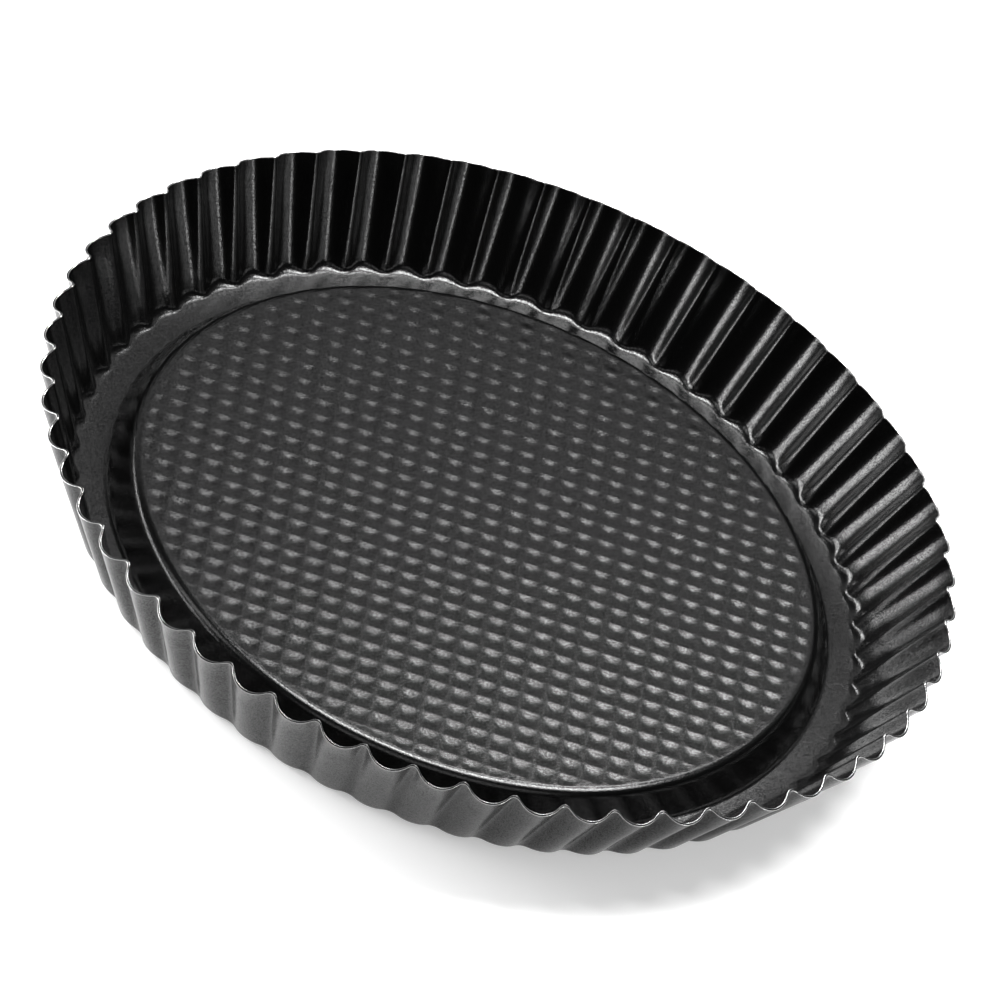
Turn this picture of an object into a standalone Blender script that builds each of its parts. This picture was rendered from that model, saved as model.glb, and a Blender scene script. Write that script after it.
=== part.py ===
"""Fluted flan tin: a wide, shallow baking tin pressed from one round blank of coated steel sheet.

Metres, +Z up. The origin is the centre of the circle that the tin stands on, and a flute ridge lies on +X.
From the middle outwards the one sheet makes a raised centre panel, a sloping step, a flat ring that the tin
stands on, a rounded foot and a leaning side wall of 58 flutes. The rim is the bare edge of the sheet.
"""

from math import atan2, cos, pi, radians, sin, sqrt, tan

import bmesh
import bpy

# Driving dimensions, in metres. Radii and heights are those of the sheet's upper, food-side face.
SHEET = 0.0006  # coated steel sheet
HEIGHT = 0.0370  # table to the rim, on top of a ridge
RIM_RADIUS = 0.1492  # rim on the crest of a lobe
RIM_FLUTE_DEPTH = 0.0034  # ridge to lobe at the rim
RIM_DIP = 0.0023  # how much lower the rim is on a lobe than on a ridge
FOOT_RADIUS = 0.1298  # where a lobe's line would meet the ring
FOOT_FLUTE_DEPTH = 0.0020  # ridge to lobe at the foot
RIDGE_FOOT_FILLET = 0.0028  # inside radius between ring and wall, under a ridge
LOBE_FOOT_FILLET = 0.0055  # the same in the hollow of a lobe
STEP_FOOT_RADIUS = 0.1185  # where the step's slope would meet the ring
PANEL_RADIUS = 0.1122  # where the step's slope would meet the centre panel
STEP_HEIGHT = 0.0093  # ring to centre panel
STEP_FILLET = 0.0024  # radius at both ends of the step

# Flutes: narrow ridges point into the tin and wide lobes bulge out.
FLUTES = 58
RIM_RIDGE_SHARE = 0.20  # how much of a flute's width the arc over the ridge takes, at the rim
FOOT_RIDGE_SHARE = 0.36  # the same at the foot
RIM_BEND = radians(44)  # steepest slope across a flute, at the rim
FOOT_BEND = radians(25)  # the same at the foot

# Facets
COLUMNS_PER_FLUTE = 6
FILLET_PARTS = 2

COATING_COLOUR = (0.035, 0.035, 0.037, 1.0)
COATING_ROUGHNESS = 0.38


def lobe_share(turn, height_share):
    """How far out the sheet is at a point of a flute: 0 on a ridge, 1 on the crest of a lobe.

    A flute is two arcs that meet at the steepest point: a tight one over the ridge and a wide one round the lobe.
    """
    ridge = FOOT_RIDGE_SHARE + height_share * (RIM_RIDGE_SHARE - FOOT_RIDGE_SHARE)
    bend = FOOT_BEND + height_share * (RIM_BEND - FOOT_BEND)
    across = 2 * abs(turn - round(turn))
    if across < ridge:
        return ridge * (1 - sqrt(1 - (across / ridge * sin(bend)) ** 2)) / (1 - cos(bend))
    lobe = 1 - ridge
    return 1 - lobe * (1 - sqrt(1 - ((1 - across) / lobe * sin(bend)) ** 2)) / (1 - cos(bend))


def arc(centre_radius, centre_height, size, first_slope, last_slope):
    """Stations (radius, height, slope) along a fillet. The slope is the sheet's rise angle going outwards."""
    stations = []
    for i in range(FILLET_PARTS + 1):
        slope = first_slope + (last_slope - first_slope) * i / FILLET_PARTS
        radius = centre_radius + size * sin(slope)
        height = centre_height - size * cos(slope)
        stations.append((radius, height, slope))
    return stations


def step_section():
    """Stations from the edge of the centre panel down to the start of the flat ring."""
    fall = atan2(STEP_HEIGHT, STEP_FOOT_RADIUS - PANEL_RADIUS)
    reach = tan(fall / 2)
    crown = STEP_FILLET + SHEET
    panel_top = SHEET + STEP_HEIGHT
    upper = arc(PANEL_RADIUS - crown * reach, panel_top - crown, -crown, 0.0, -fall)
    lower = arc(STEP_FOOT_RADIUS + STEP_FILLET * reach, SHEET + STEP_FILLET, STEP_FILLET, -fall, 0.0)
    return upper + lower


def wall_section(foot_radius, fillet, rim_radius, rim_height):
    """Stations from the end of the flat ring, round the foot's fillet and up the wall to the rim."""
    rise = atan2(rim_height - SHEET, rim_radius - foot_radius)
    centre_radius = foot_radius - fillet * tan(rise / 2)
    stations = arc(centre_radius, SHEET + fillet, fillet, 0.0, rise)
    stations.append((rim_radius, rim_height, rise))
    return stations


def lower_face(station):
    """The point of the sheet's lower face that lies straight through it from an upper station."""
    radius, height, slope = station
    return radius + SHEET * sin(slope), height - SHEET * cos(slope)


def add_ring(mesh, points):
    """One closed row of vertices, from a list of (radius, height) spread evenly round the axis."""
    row = []
    for i, (radius, height) in enumerate(points):
        angle = 2 * pi * i / len(points)
        row.append(mesh.verts.new((radius * cos(angle), radius * sin(angle), height)))
    return row


def plain_rows(mesh, count):
    """Rows of the round middle of the tin, upper and lower face, from the panel's edge outwards."""
    upper, lower = [], []
    for station in step_section():
        upper.append(add_ring(mesh, [station[:2]] * count))
        lower.append(add_ring(mesh, [lower_face(station)] * count))
    return upper, lower


def fluted_rows(mesh, count):
    """Rows of the foot and the side wall, upper and lower face, blended from ridge to lobe."""
    ridge_foot = FOOT_RADIUS - FOOT_FLUTE_DEPTH
    ridge_rim = RIM_RADIUS - RIM_FLUTE_DEPTH
    ridge = wall_section(ridge_foot, RIDGE_FOOT_FILLET, ridge_rim, HEIGHT)
    lobe = wall_section(FOOT_RADIUS, LOBE_FOOT_FILLET, RIM_RADIUS, HEIGHT - RIM_DIP)
    upper, lower = [], []
    for ridge_station, lobe_station in zip(ridge, lobe):
        stations = []
        for i in range(count):
            share = lobe_share(i / COLUMNS_PER_FLUTE, ridge_station[1] / HEIGHT)
            stations.append([a + share * (b - a) for a, b in zip(ridge_station, lobe_station)])
        upper.append(add_ring(mesh, [station[:2] for station in stations]))
        lower.append(add_ring(mesh, [lower_face(station) for station in stations]))
    return upper, lower


def join_rows(mesh, inner, outer, facing_up):
    """Faces between two rows. The outer row has as many vertices as the inner one, or twice as many."""
    per_step = len(outer) // len(inner)
    for i in range(len(inner)):
        a, b = inner[i], inner[(i + 1) % len(inner)]
        across = [outer[(per_step * i + k) % len(outer)] for k in range(per_step + 1)]
        if per_step == 1:
            faces = [[a, across[0], across[1], b]]
        else:
            faces = [[a, across[0], across[1]], [a, across[1], b], [across[1], across[2], b]]
        for face in faces:
            mesh.faces.new(face if facing_up else face[::-1])


def close_panel(mesh, edge, facing_up):
    """The flat centre panel, as triangles round its middle point."""
    middle = mesh.verts.new((0.0, 0.0, edge[0].co.z))
    for i in range(len(edge)):
        face = [middle, edge[i], edge[(i + 1) % len(edge)]]
        mesh.faces.new(face if facing_up else face[::-1])


def sheet_mesh():
    """The whole pressed sheet as one closed body: upper face, lower face and the bare edge at the rim."""
    mesh = bmesh.new()
    fine = FLUTES * COLUMNS_PER_FLUTE
    for_panel, for_wall = plain_rows(mesh, fine // 2), fluted_rows(mesh, fine)
    faces = [for_panel[side] + for_wall[side] for side in (0, 1)]
    for rows, facing_up in zip(faces, (True, False)):
        close_panel(mesh, rows[0], facing_up)
        for inner, outer in zip(rows, rows[1:]):
            join_rows(mesh, inner, outer, facing_up)
    join_rows(mesh, faces[0][-1], faces[1][-1], True)
    bmesh.ops.recalc_face_normals(mesh, faces=mesh.faces)
    data = bpy.data.meshes.new("tart_pan")
    mesh.to_mesh(data)
    mesh.free()
    data.shade_smooth()
    data.set_sharp_from_angle(angle=pi / 5)
    return data


def coating():
    """Dark grey non-stick coating with a satin gloss."""
    material = bpy.data.materials.new("nonstick_coating")
    material.use_nodes = True
    shader = material.node_tree.nodes["Principled BSDF"]
    shader.inputs["Base Color"].default_value = COATING_COLOUR
    shader.inputs["Roughness"].default_value = COATING_ROUGHNESS
    shader.inputs["Metallic"].default_value = 0.0
    return material


def tart_pan():
    """The tin: a single piece of sheet, so a single object."""
    data = sheet_mesh()
    data.materials.append(coating())
    pan = bpy.data.objects.new("tart_pan", data)
    bpy.context.scene.collection.objects.link(pan)
    return pan


def main():
    for old in list(bpy.data.objects):
        bpy.data.objects.remove(old)
    tart_pan()


main()
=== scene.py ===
"""Fluted flan tin of dark non-stick steel sheet, standing on a pale studio floor.

Metres, +Z up, in the frame of the CAD part: the tin's axis is Z, it stands on z = 0, and a flute ridge lies on +X.
The whole tin is one pressed sheet: an embossed centre panel, a step down to the ring it stands on, a rounded foot,
a leaning wall of 58 flutes, and the bare edge of the sheet as its rim.
"""

from math import atan2, cos, pi, radians, sin, tan

import bpy
import numpy as np
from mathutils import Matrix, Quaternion, Vector
from mathutils.geometry import delaunay_2d_cdt

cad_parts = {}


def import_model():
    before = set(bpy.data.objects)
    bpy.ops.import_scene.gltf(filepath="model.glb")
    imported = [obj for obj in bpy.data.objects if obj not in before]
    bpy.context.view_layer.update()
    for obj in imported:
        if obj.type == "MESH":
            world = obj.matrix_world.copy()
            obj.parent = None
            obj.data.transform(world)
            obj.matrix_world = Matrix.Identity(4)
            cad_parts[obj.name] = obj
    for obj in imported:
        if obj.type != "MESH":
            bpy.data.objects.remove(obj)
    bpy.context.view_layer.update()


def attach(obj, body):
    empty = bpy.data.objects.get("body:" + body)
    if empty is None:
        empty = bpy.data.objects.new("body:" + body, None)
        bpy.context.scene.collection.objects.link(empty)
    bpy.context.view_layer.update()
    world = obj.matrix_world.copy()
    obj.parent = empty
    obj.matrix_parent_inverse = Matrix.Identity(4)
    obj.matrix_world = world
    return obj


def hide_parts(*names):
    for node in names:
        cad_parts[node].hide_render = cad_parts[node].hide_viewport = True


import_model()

# The pressed sheet. Radii and heights are those of its upper, food-side face.
SHEET = 0.0006
HEIGHT = 0.0370  # table to the rim, on top of a ridge
RIM_RADIUS = 0.1492  # rim on the crest of a lobe
RIM_FLUTE_DEPTH = 0.0034  # ridge to lobe at the rim
RIM_DIP = 0.0023  # how much lower the rim is on a lobe than on a ridge
FOOT_RADIUS = 0.1298  # where a lobe's line would meet the ring
FOOT_FLUTE_DEPTH = 0.0020  # ridge to lobe at the foot
RIDGE_FOOT_FILLET = 0.0028  # inside radius between ring and wall, under a ridge
LOBE_FOOT_FILLET = 0.0055  # the same in the hollow of a lobe
STEP_FOOT_RADIUS = 0.1185  # where the step's slope would meet the ring
PANEL_RADIUS = 0.1122  # where the step's slope would meet the centre panel
STEP_HEIGHT = 0.0093  # ring to centre panel
STEP_FILLET = 0.0024  # radius between the step and the ring
CROWN_RADIUS = 0.0046  # radius between the centre panel and the step

# The bare edge. Both of its corners are rounded; the lighter metallic colour on them is partly bare steel showing
# through wear and partly a painted highlight line.
EDGE_ROUNDING = 0.00017
EDGE_BEAD = 0.00010  # how far the coating swells beyond each face
EDGE_RUN = 0.0006  # height over which the swelling grows
CORNER = ((0, 0.0), (30, 1.0), (60, 1.0), (90, 0.0))  # turns round a corner in degrees, with their shares of wear and painted highlight

# Flutes: narrow ridges point into the tin and wide lobes bulge out.
FLUTES = 58
RIM_RIDGE_SHARE = 0.20  # how much of a flute's width the arc over the ridge takes, at the rim
FOOT_RIDGE_SHARE = 0.36  # the same at the foot
RIM_BEND = radians(44)  # steepest slope across a flute, at the rim
FOOT_BEND = radians(25)  # the same at the foot

# Embossing of the centre panel: square hollows with flat land between them.
CELL = 0.00746  # pitch of the hollows
CELL_TURN = radians(1.25)  # turn of the pattern about the axis
CELL_SHIFT = (-0.03, 0.0)  # shift of the pattern, in cells
HOLLOW_SHARE = 0.90  # width of a hollow, as a share of a cell
HOLLOW_DEPTH = 0.00039
CREASE = 0.06  # how softly a hollow meets the land, as a share of half its width
CORNER_CUT = 0.6  # how round a hollow's corners are: 0 is a plain square
EMBOSS_RADIUS = 0.1090  # where the pattern is half faded out
EMBOSS_FADE = 0.0020  # width over which it fades

# Fineness of the mesh
COLUMNS = 18  # columns of vertices per flute
CROWDING = 0.45  # how much closer together they are near a ridge
UPPER_STEP_PARTS, LOWER_STEP_PARTS = 8, 6  # facets along each fillet of the step
UPPER_FOOT_PARTS, LOWER_FOOT_PARTS = 8, 5  # facets along the foot's fillet
UPPER_WALL_ROWS, LOWER_WALL_ROWS = 5, 4  # rows from the foot to the rim
UPPER_LINES = (0.0, 0.03, 0.08, 0.28, 0.5, 0.72, 0.92, 0.97)  # grid lines across a cell, upper face
LOWER_LINES = (0.06, 0.5, 0.94)  # the same, lower face
GRID_GAP = 0.0004  # least gap between the grid and the panel's round border
SAME_POINT = 1e-9  # points closer together than this are one point

# Coating
COATING_COLOUR = (0.001, 0.001, 0.00102, 1)
# Lighter metallic colour of the bare edge's corners: partly bare steel showing through wear, partly a painted
# highlight line.
WEAR_AND_HIGHLIGHT_COLOUR = (0.4, 0.4, 0.4, 1)
COATING_ROUGHNESS = 0.18
COATING_IOR = 1.5
GRAIN_SCALE, GRAIN_DETAIL, GRAIN_ROUGHNESS = 2200.0, 1.0, 0.6  # the noise that makes the grain
GRAIN_BUMP, GRAIN_HEIGHT = 0.35, 0.0001
GRAIN_RANGE = (0.3, 0.7)  # range of the noise that is used
GLOSS_RANGE = (0.05, 0.45)  # specular level over that range
MIX_A, MIX_B, MIX_RESULT = 6, 7, 2  # the colour sockets of a Mix node

# Studio. Radiances are in units of the floor's white.
FLOOR_REACH = 6.0
FLOOR_GAP = 0.0002  # keeps the floor clear of the ring that stands on it
FLOOR_GREY = (0.7, 0.7, 0.7, 1)
FLOOR_ROUGHNESS = 0.9
FLOOR_GLOW = 0.40
WHITE = (1, 1, 1, 1)
WORLD_GLOW = 0.005
DOWN = (0, 0, -1)
CEILING = 1.1
SOFTBOXES = (  # name, centre, facing, width, height, radiance
    ("overhead", (0.20, 0.27, CEILING), DOWN, 0.80, 0.34, 42),
    ("overhead_back", (0.33, 0.83, CEILING), DOWN, 0.24, 0.26, 29),
    ("overhead_side", (0.085, 0.82, CEILING), DOWN, 0.25, 0.30, 12.5),
    ("overhead_front", (0.15, -0.70, CEILING), DOWN, 1.30, 0.40, 1.9),
    ("overhead_left", (-0.85, 0.10, CEILING), DOWN, 0.50, 0.40, 5),
    ("left", (-1.3, 0.45, 0.55), (1, 0, 0), 1.90, 0.80, 19),
    ("right_strip", (1.28, -0.96, 0.42), (-0.78, 0.58, -0.25), 0.12, 0.62, 24),
    ("right", (1.35, -0.10, 0.30), (-1, 0, 0), 1.30, 0.55, 2.0),
    ("back", (0.0, 1.5, 0.90), (0, -1, 0), 2.60, 1.20, 0.85),
)

# Camera: a long lens that looks down at the tin from the -Y side, rolled so that the horizon tilts.
SENSOR_WIDTH_MM = 36.0
LENS_MM = 287.09
CAMERA_AZIMUTH = radians(-97.2747)
CAMERA_ELEVATION = radians(39.0881)
CAMERA_DISTANCE = 2.46337
CAMERA_ROLL = radians(23.7165)
CAMERA_AIM = Vector((0.00017, -0.01546, 0.037))
CLIP_NEAR, CLIP_FAR = 0.1, 30.0


# Sections through the sheet
def lobe_share(turns, height_share):
    """How far out the sheet is at points of a flute: 0 on a ridge, 1 on the crest of a lobe.

    A flute is two arcs that meet at the steepest point: a tight one over the ridge and a wide one round the lobe.
    """
    ridge = FOOT_RIDGE_SHARE + height_share * (RIM_RIDGE_SHARE - FOOT_RIDGE_SHARE)
    bend = FOOT_BEND + height_share * (RIM_BEND - FOOT_BEND)
    across = 2 * np.abs(turns - np.round(turns))
    on_ridge = np.clip(across / ridge, 0, 1) * sin(bend)
    on_lobe = np.clip((1 - across) / (1 - ridge), 0, 1) * sin(bend)
    rise = ridge * (1 - np.sqrt(1 - on_ridge**2)) / (1 - cos(bend))
    fall = (1 - ridge) * (1 - np.sqrt(1 - on_lobe**2)) / (1 - cos(bend))
    return np.where(across < ridge, rise, 1 - fall)


def arc(centre_radius, centre_height, size, first_slope, last_slope, parts):
    """Stations (radius, height, slope) along a fillet. The slope is the sheet's rise angle going outwards."""
    slopes = np.linspace(first_slope, last_slope, parts + 1)
    return [(centre_radius + size * sin(s), centre_height - size * cos(s), s) for s in slopes]


def step_section(parts):
    """Stations from the edge of the centre panel down to the start of the flat ring."""
    fall = atan2(STEP_HEIGHT, STEP_FOOT_RADIUS - PANEL_RADIUS)
    crown_radius = PANEL_RADIUS - CROWN_RADIUS * tan(fall / 2)
    crown_height = SHEET + STEP_HEIGHT - CROWN_RADIUS
    foot_radius = STEP_FOOT_RADIUS + STEP_FILLET * tan(fall / 2)
    upper = arc(crown_radius, crown_height, -CROWN_RADIUS, 0.0, -fall, parts)
    lower = arc(foot_radius, SHEET + STEP_FILLET, STEP_FILLET, -fall, 0.0, parts)
    return upper + lower


def wall_section(foot_radius, fillet, rim_radius, rim_height, parts, rows):
    """Stations from the end of the flat ring, round the foot's fillet and up the wall to just under the rim."""
    rise = atan2(rim_height - SHEET, rim_radius - foot_radius)
    stations = arc(foot_radius - fillet * tan(rise / 2), SHEET + fillet, fillet, 0.0, rise, parts)
    radius, height, slope = stations[-1]
    end_radius = rim_radius - (EDGE_ROUNDING + EDGE_RUN) * cos(rise)
    end_height = rim_height - (EDGE_ROUNDING + EDGE_RUN) * sin(rise)
    for i in range(1, rows + 1):
        share = i / rows
        stations.append((radius + share * (end_radius - radius), height + share * (end_height - height), slope))
    return stations


def ridge_section(parts, rows):
    """The wall's section through a ridge."""
    foot, rim = FOOT_RADIUS - FOOT_FLUTE_DEPTH, RIM_RADIUS - RIM_FLUTE_DEPTH
    return wall_section(foot, RIDGE_FOOT_FILLET, rim, HEIGHT, parts, rows)


def lobe_section(parts, rows):
    """The wall's section through the crest of a lobe."""
    return wall_section(FOOT_RADIUS, LOBE_FOOT_FILLET, RIM_RADIUS, HEIGHT - RIM_DIP, parts, rows)


def rim_section(station):
    """Points over the bare edge, from the upper face to the lower face, each with its share of wear and painted
    highlight.
    """
    radius, height, slope = station
    through = np.array((sin(slope), -cos(slope)))
    along = np.array((cos(slope), sin(slope)))
    start = np.array((radius, height)) + along * EDGE_RUN
    points = []
    for turn, wear_and_highlight in CORNER:
        depth = EDGE_ROUNDING * (1 - cos(radians(turn))) - EDGE_BEAD
        points.append((start + through * depth + along * EDGE_ROUNDING * sin(radians(turn)), wear_and_highlight))
    for turn, wear_and_highlight in reversed(CORNER):
        depth = SHEET + EDGE_BEAD - EDGE_ROUNDING * (1 - cos(radians(turn)))
        points.append((start + through * depth + along * EDGE_ROUNDING * sin(radians(turn)), wear_and_highlight))
    points.append((np.array((radius, height)) + through * SHEET, 0.0))
    return points


def under(stations):
    """Radii and heights of the sheet's lower face, straight through it from stations of the upper face."""
    radii, heights, slopes = np.moveaxis(np.asarray(stations), -1, 0)
    return radii + SHEET * np.sin(slopes), heights - SHEET * np.cos(slopes)


# The mesh
class Sheet:
    """Collects rows of vertices and the faces between them."""

    def __init__(self):
        self.points = []
        self.faces = []
        self.count = 0
        self.wear_and_highlight = {}

    def add(self, points):
        """Adds vertices and returns their numbers."""
        points = np.asarray(points, dtype=float)
        numbers = np.arange(self.count, self.count + len(points))
        self.points.append(points)
        self.count += len(points)
        return numbers

    def add_faces(self, corners, facing_up):
        """Adds faces from columns of vertex numbers, one column per corner."""
        faces = np.stack(corners, axis=1)
        self.faces += (faces if facing_up else faces[:, ::-1]).tolist()

    def ring(self, angles, radii, heights):
        """One closed row of vertices round the axis."""
        radii = np.broadcast_to(radii, angles.shape)
        heights = np.broadcast_to(heights, angles.shape)
        return self.add(np.stack((radii * np.cos(angles), radii * np.sin(angles), heights), axis=1))

    def join(self, inner, outer, facing_up):
        """Faces between two closed rows. The outer row has as many vertices as the inner one, or twice as many."""
        after_inner = np.roll(inner, -1)
        if len(inner) == len(outer):
            self.add_faces((inner, outer, np.roll(outer, -1), after_inner), facing_up)
            return
        first, middle, last = outer[0::2], outer[1::2], np.roll(outer[0::2], -1)
        self.add_faces((inner, first, middle), facing_up)
        self.add_faces((inner, middle, after_inner), facing_up)
        self.add_faces((middle, last, after_inner), facing_up)

    def join_rows(self, rows, facing_up):
        """Faces between closed rows, from the innermost outwards."""
        for inner, outer in zip(rows, rows[1:]):
            self.join(inner, outer, facing_up)

    def object(self, name):
        """The collected mesh as an object, with the share of wear and painted highlight as an attribute of its
        vertices.
        """
        data = bpy.data.meshes.new(name)
        data.from_pydata(np.concatenate(self.points).tolist(), [], self.faces)
        data.shade_smooth()
        wear_and_highlight = data.attributes.new("wear_and_highlight", "FLOAT", "POINT")
        for number, share in self.wear_and_highlight.items():
            wear_and_highlight.data[number].value = share
        piece = bpy.data.objects.new(name, data)
        bpy.context.scene.collection.objects.link(piece)
        return piece


# The embossed panel. Lattice places are counted in cells, from a corner between four hollows.
def to_lattice(x, y):
    """Lattice place of a point of the panel."""
    across = (x * cos(CELL_TURN) + y * sin(CELL_TURN)) / CELL - CELL_SHIFT[0]
    along = (y * cos(CELL_TURN) - x * sin(CELL_TURN)) / CELL - CELL_SHIFT[1]
    return across, along


def from_lattice(across, along):
    """Point of the panel at a lattice place."""
    u, v = (across + CELL_SHIFT[0]) * CELL, (along + CELL_SHIFT[1]) * CELL
    return u * cos(CELL_TURN) - v * sin(CELL_TURN), u * sin(CELL_TURN) + v * cos(CELL_TURN)


def hollow(across, along):
    """Depth share of an embossed hollow: 0 on the land, 1 in the middle of the hollow."""
    u = np.abs(across % 1.0 - 0.5) * 2 / HOLLOW_SHARE
    v = np.abs(along % 1.0 - 0.5) * 2 / HOLLOW_SHARE
    square = np.maximum(u, v)
    side = square + CORNER_CUT * ((u**3 + v**3) ** (1 / 3) - square)
    inwards = 1 - np.sqrt(side**2 + CREASE**2)
    return 0.5 * (inwards + np.sqrt(inwards**2 + CREASE**2))


def emboss(x, y):
    """Height of the pressed pattern above the panel's land. It fades out smoothly towards the border."""
    fade = np.clip((EMBOSS_RADIUS + EMBOSS_FADE / 2 - np.hypot(x, y)) / EMBOSS_FADE, 0, 1)
    return -HOLLOW_DEPTH * hollow(*to_lattice(x, y)) * fade**2 * (3 - 2 * fade)


def grid_places(lines, reach):
    """Lattice places of the grid lines across the panel."""
    cells = int(reach / CELL) + 2
    places = [n + share for n in range(-cells, cells) for share in lines]
    return np.array([p for p in places if abs(p) * CELL < reach + CELL])


def add_grid(sheet, places, reach, base, facing_up):
    """Adds the grid's whole quads within the reach. Returns where they are, and their corners' vertex numbers."""
    across, along = np.meshgrid(places, places, indexing="ij")
    x, y = from_lattice(across, along)
    inside = np.hypot(x, y) < reach
    quads = inside[:-1, :-1] & inside[1:, :-1] & inside[1:, 1:] & inside[:-1, 1:]
    used = np.zeros(inside.shape, bool)
    for i, j in ((0, 0), (1, 0), (1, 1), (0, 1)):
        used[i : i + quads.shape[0], j : j + quads.shape[1]] |= quads
    numbers = np.full(inside.shape, -1)
    numbers[used] = sheet.add(np.stack((x[used], y[used], base + emboss(x[used], y[used])), axis=1))
    a, b = numbers[:-1, :-1][quads], numbers[1:, :-1][quads]
    c, d = numbers[1:, 1:][quads], numbers[:-1, 1:][quads]
    # Each quad is cut along the diagonal that points to the middle of its hollow.
    middle_across = (across[:-1, :-1] + across[1:, 1:])[quads] / 2
    middle_along = (along[:-1, :-1] + along[1:, 1:])[quads] / 2
    rising = (middle_across % 1.0 - 0.5) * (middle_along % 1.0 - 0.5) > 0
    sheet.add_faces((a, b, np.where(rising, c, d)), facing_up)
    sheet.add_faces((np.where(rising, a, b), c, d), facing_up)
    return quads, np.stack((a, b, c, d), axis=1)


def outline(corners):
    """The edges that only one quad has, as pairs of vertex numbers. They make the grid's jagged outline."""
    edges = dict.fromkeys((quad[k], quad[(k + 1) % 4]) for quad in corners.tolist() for k in range(4))
    return [edge for edge in edges if edge[::-1] not in edges]


def add_margin(sheet, places, quads, corners, border, border_points, facing_up):
    """Adds the triangles between the grid's outline and the panel's round border."""
    grid_edges = outline(corners)
    numbers = sorted({number for edge in grid_edges for number in edge})
    place_of = {number: i for i, number in enumerate(numbers)}
    all_points = np.concatenate(sheet.points)
    first, total = len(numbers), len(border)
    fixed_points = [Vector(all_points[number][:2]) for number in numbers] + border_points
    edges = [(place_of[start], place_of[end]) for start, end in grid_edges]
    edges += [(first + i, first + (i + 1) % total) for i in range(total)]
    numbers += border.tolist()
    points, _, triangles, origins, _, _ = delaunay_2d_cdt(fixed_points, edges, [], 1, SAME_POINT)
    covered = set(map(tuple, np.argwhere(quads).tolist()))
    for triangle in triangles:
        a, b, c = (points[i] for i in triangle)
        middle = to_lattice(*((a + b + c) / 3))
        if tuple(int(i) - 1 for i in np.searchsorted(places, middle, side="right")) in covered:
            continue
        face = [numbers[origins[i][0]] for i in triangle]
        counterclockwise = (b - a).cross(c - a) > 0
        sheet.faces.append(face if counterclockwise == facing_up else face[::-1])


def panel(sheet, border, border_angles, border_radius, base, lines, facing_up):
    """The embossed panel: a grid along the hollows, and triangles between the grid and the round border."""
    reach = border_radius - GRID_GAP
    places = grid_places(lines, reach)
    quads, corners = add_grid(sheet, places, reach, base, facing_up)
    border_points = [Vector((border_radius * cos(t), border_radius * sin(t))) for t in border_angles]
    add_margin(sheet, places, quads, corners, border, border_points, facing_up)


# The tin
def column_turns():
    """Places of the columns of vertices round the tin, in flutes, closer together near the ridges."""
    even = np.arange(COLUMNS) / COLUMNS
    crowded = even - CROWDING * np.sin(2 * pi * even) / (2 * pi)
    return (np.arange(FLUTES)[:, None] + crowded[None, :]).ravel()


def blend(ridge, lobe, turns):
    """One row round the tin, from its station or point on a ridge and the one on a lobe."""
    ridge, lobe = np.array(ridge), np.array(lobe)
    share = lobe_share(turns, min(max(ridge[1] / HEIGHT, 0.0), 1.0))
    return ridge[None, :] + share[:, None] * (lobe - ridge)[None, :]


def fluted_stations(turns, parts, rows):
    """Rows of stations of the foot and the wall, from the ring outwards."""
    sections = zip(ridge_section(parts, rows), lobe_section(parts, rows))
    return [blend(ridge, lobe, turns) for ridge, lobe in sections]


def add_upper_face(sheet, turns, angles):
    """Adds the food-side face and returns its last row, just under the rim."""
    step = step_section(UPPER_STEP_PARTS)
    rows = [sheet.ring(angles[::2], radius, height) for radius, height, _ in step]
    for stations in fluted_stations(turns, UPPER_FOOT_PARTS, UPPER_WALL_ROWS):
        rows.append(sheet.ring(angles, stations[:, 0], stations[:, 1]))
    sheet.join_rows(rows, True)
    radius, height, _ = step[0]
    panel(sheet, rows[0], angles[::2], radius, height, UPPER_LINES, True)
    return rows[-1]


def add_bare_edge(sheet, turns, angles, row):
    """Adds the rows over the rim, on from a row of the upper face, and returns the last of them."""
    ridge = rim_section(ridge_section(UPPER_FOOT_PARTS, UPPER_WALL_ROWS)[-1])
    lobe = rim_section(lobe_section(UPPER_FOOT_PARTS, UPPER_WALL_ROWS)[-1])
    rows = [row]
    for (ridge_point, wear_and_highlight), (lobe_point, _) in zip(ridge, lobe):
        points = blend(ridge_point, lobe_point, turns)
        rows.append(sheet.ring(angles, points[:, 0], points[:, 1]))
        sheet.wear_and_highlight.update(dict.fromkeys(rows[-1].tolist(), wear_and_highlight))
    sheet.join_rows(rows, True)
    return rows[-1]


def add_lower_face(sheet, turns, angles, row):
    """Adds the face that the tin stands on, inwards from the last row over the rim."""
    wall = fluted_stations(turns, LOWER_FOOT_PARTS, LOWER_WALL_ROWS)[:-1]
    wall_rows = [sheet.ring(angles, *under(stations)) for stations in wall]
    step = step_section(LOWER_STEP_PARTS)
    step_rows = [sheet.ring(angles[::2], *under(station)) for station in step]
    sheet.join_rows(step_rows + wall_rows + [row], False)
    radius, height = under(step[0])
    panel(sheet, step_rows[0], angles[::2], radius, height, LOWER_LINES, False)


def tin():
    """The whole pressed sheet as one closed body."""
    sheet = Sheet()
    turns = column_turns()
    angles = 2 * pi * turns / FLUTES
    row = add_upper_face(sheet, turns, angles)
    row = add_bare_edge(sheet, turns, angles, row)
    add_lower_face(sheet, turns, angles, row)
    return sheet.object("tin")


# Materials
def new_material(name):
    """A material with nodes, and its main shader."""
    material = bpy.data.materials.new(name)
    material.use_nodes = True
    return material, material.node_tree.nodes["Principled BSDF"]


def set_inputs(node, values):
    """Sets inputs of a node by name."""
    for name, value in values.items():
        node.inputs[name].default_value = value


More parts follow.
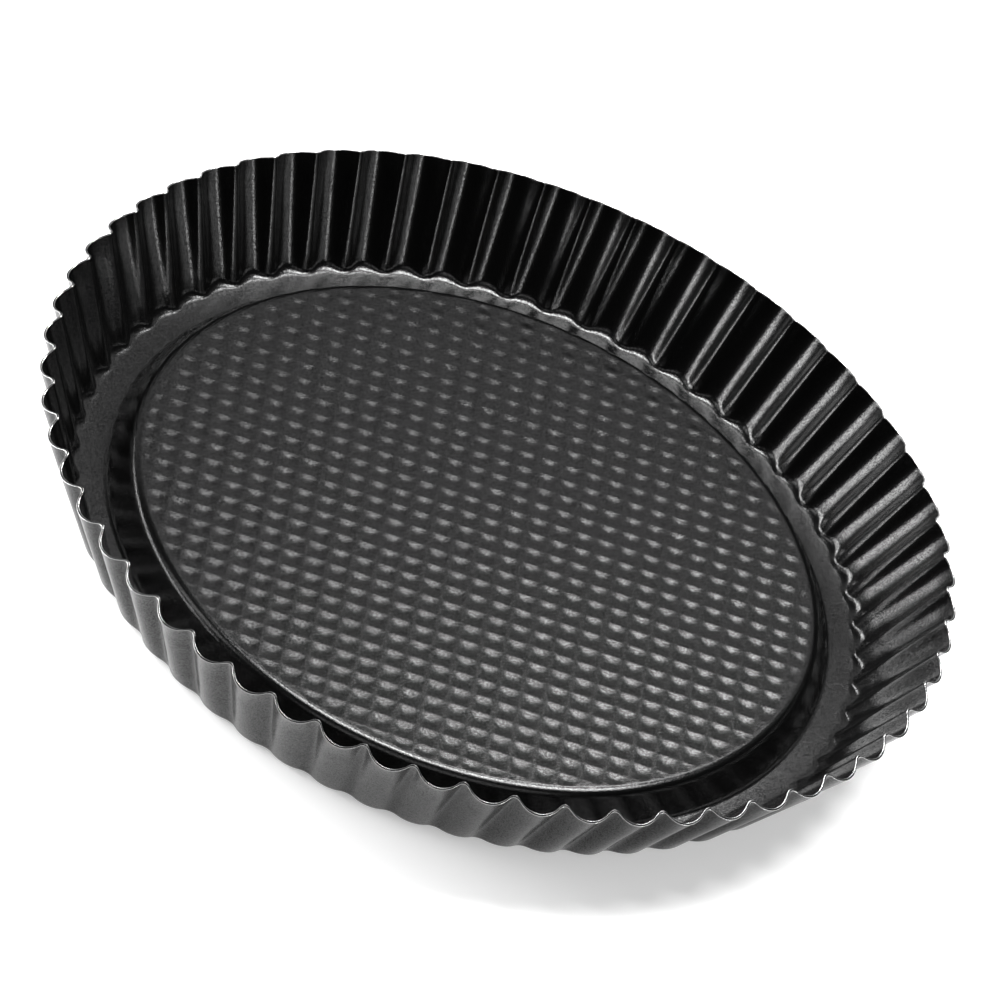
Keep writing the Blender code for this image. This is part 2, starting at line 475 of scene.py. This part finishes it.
def coating():
    """Near-black satin non-stick coating with a fine grain; both corners of the bare edge turn to a lighter metal,
    partly bare steel showing through wear and partly a painted highlight.
    """
    material, shader = new_material("nonstick_coating")
    nodes, links = material.node_tree.nodes, material.node_tree.links
    set_inputs(shader, {"Roughness": COATING_ROUGHNESS, "IOR": COATING_IOR})

    coords = nodes.new("ShaderNodeTexCoord")
    grain = nodes.new("ShaderNodeTexNoise")
    set_inputs(grain, {"Scale": GRAIN_SCALE, "Detail": GRAIN_DETAIL, "Roughness": GRAIN_ROUGHNESS})
    links.new(coords.outputs["Object"], grain.inputs["Vector"])

    gloss = nodes.new("ShaderNodeMapRange")
    set_inputs(gloss, {"From Min": GRAIN_RANGE[0], "From Max": GRAIN_RANGE[1]})
    set_inputs(gloss, {"To Min": GLOSS_RANGE[0], "To Max": GLOSS_RANGE[1]})
    links.new(grain.outputs["Fac"], gloss.inputs["Value"])
    links.new(gloss.outputs["Result"], shader.inputs["Specular IOR Level"])

    bump = nodes.new("ShaderNodeBump")
    set_inputs(bump, {"Strength": GRAIN_BUMP, "Distance": GRAIN_HEIGHT})
    links.new(grain.outputs["Fac"], bump.inputs["Height"])
    links.new(bump.outputs["Normal"], shader.inputs["Normal"])

    # The lighter metallic colour on the edge's corners is partly wear and partly a painted highlight line.
    wear_and_highlight = nodes.new("ShaderNodeAttribute")
    wear_and_highlight.attribute_name = "wear_and_highlight"
    colour = nodes.new("ShaderNodeMix")
    colour.data_type = "RGBA"
    colour.inputs[MIX_A].default_value = COATING_COLOUR
    colour.inputs[MIX_B].default_value = WEAR_AND_HIGHLIGHT_COLOUR
    links.new(wear_and_highlight.outputs["Fac"], colour.inputs["Factor"])
    links.new(colour.outputs[MIX_RESULT], shader.inputs["Base Color"])
    links.new(wear_and_highlight.outputs["Fac"], shader.inputs["Metallic"])
    return material


def make_tin():
    """The tin with its coating, in place of the CAD part's node."""
    piece = tin()
    piece.data.materials.append(coating())
    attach(piece, "root")
    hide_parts("tart_pan")


# Studio
def pale_floor():
    """A large matt floor that glows a little, so that it stays pale in every view."""
    data = bpy.data.meshes.new("floor")
    corners = [(x * FLOOR_REACH, y * FLOOR_REACH, 0) for x, y in ((-1, -1), (1, -1), (1, 1), (-1, 1))]
    data.from_pydata(corners, [], [(0, 1, 2, 3)])
    floor = bpy.data.objects.new("floor", data)
    floor.location.z = -FLOOR_GAP
    bpy.context.scene.collection.objects.link(floor)
    material, shader = new_material("floor")
    set_inputs(shader, {"Base Color": FLOOR_GREY, "Roughness": FLOOR_ROUGHNESS, "Specular IOR Level": 0.0})
    set_inputs(shader, {"Emission Color": WHITE, "Emission Strength": FLOOR_GLOW})
    data.materials.append(material)


def softbox(name, centre, facing, width, height, radiance):
    """A soft rectangular light."""
    data = bpy.data.lights.new(name, "AREA")
    data.shape = "RECTANGLE"
    data.size, data.size_y = width, height
    data.energy = pi * width * height * radiance
    lamp = bpy.data.objects.new(name, data)
    lamp.location = centre
    lamp.rotation_mode = "QUATERNION"
    lamp.rotation_quaternion = Vector(facing).to_track_quat("-Z", "Y")
    bpy.context.scene.collection.objects.link(lamp)


def camera():
    """The camera, behind and above its aim on the -Y side."""
    data = bpy.data.cameras.new("camera")
    data.sensor_width, data.lens = SENSOR_WIDTH_MM, LENS_MM
    data.clip_start, data.clip_end = CLIP_NEAR, CLIP_FAR
    cam = bpy.data.objects.new("camera", data)
    level = Vector((cos(CAMERA_AZIMUTH), sin(CAMERA_AZIMUTH), 0))
    away = level * cos(CAMERA_ELEVATION) + Vector((0, 0, sin(CAMERA_ELEVATION)))
    cam.location = CAMERA_AIM + away * CAMERA_DISTANCE
    cam.rotation_mode = "QUATERNION"
    cam.rotation_quaternion = away.to_track_quat("Z", "Y") @ Quaternion((0, 0, 1), CAMERA_ROLL)
    bpy.context.scene.collection.objects.link(cam)
    bpy.context.scene.camera = cam


def world():
    """Almost dark surroundings: the light comes from the softboxes."""
    surroundings = bpy.data.worlds.new("studio")
    surroundings.use_nodes = True
    set_inputs(surroundings.node_tree.nodes["Background"], {"Color": WHITE, "Strength": WORLD_GLOW})
    bpy.context.scene.world = surroundings


make_tin()
pale_floor()
camera()
world()
for light in SOFTBOXES:
    softbox(*light)
bpy.context.scene.view_settings.view_transform = "Standard"
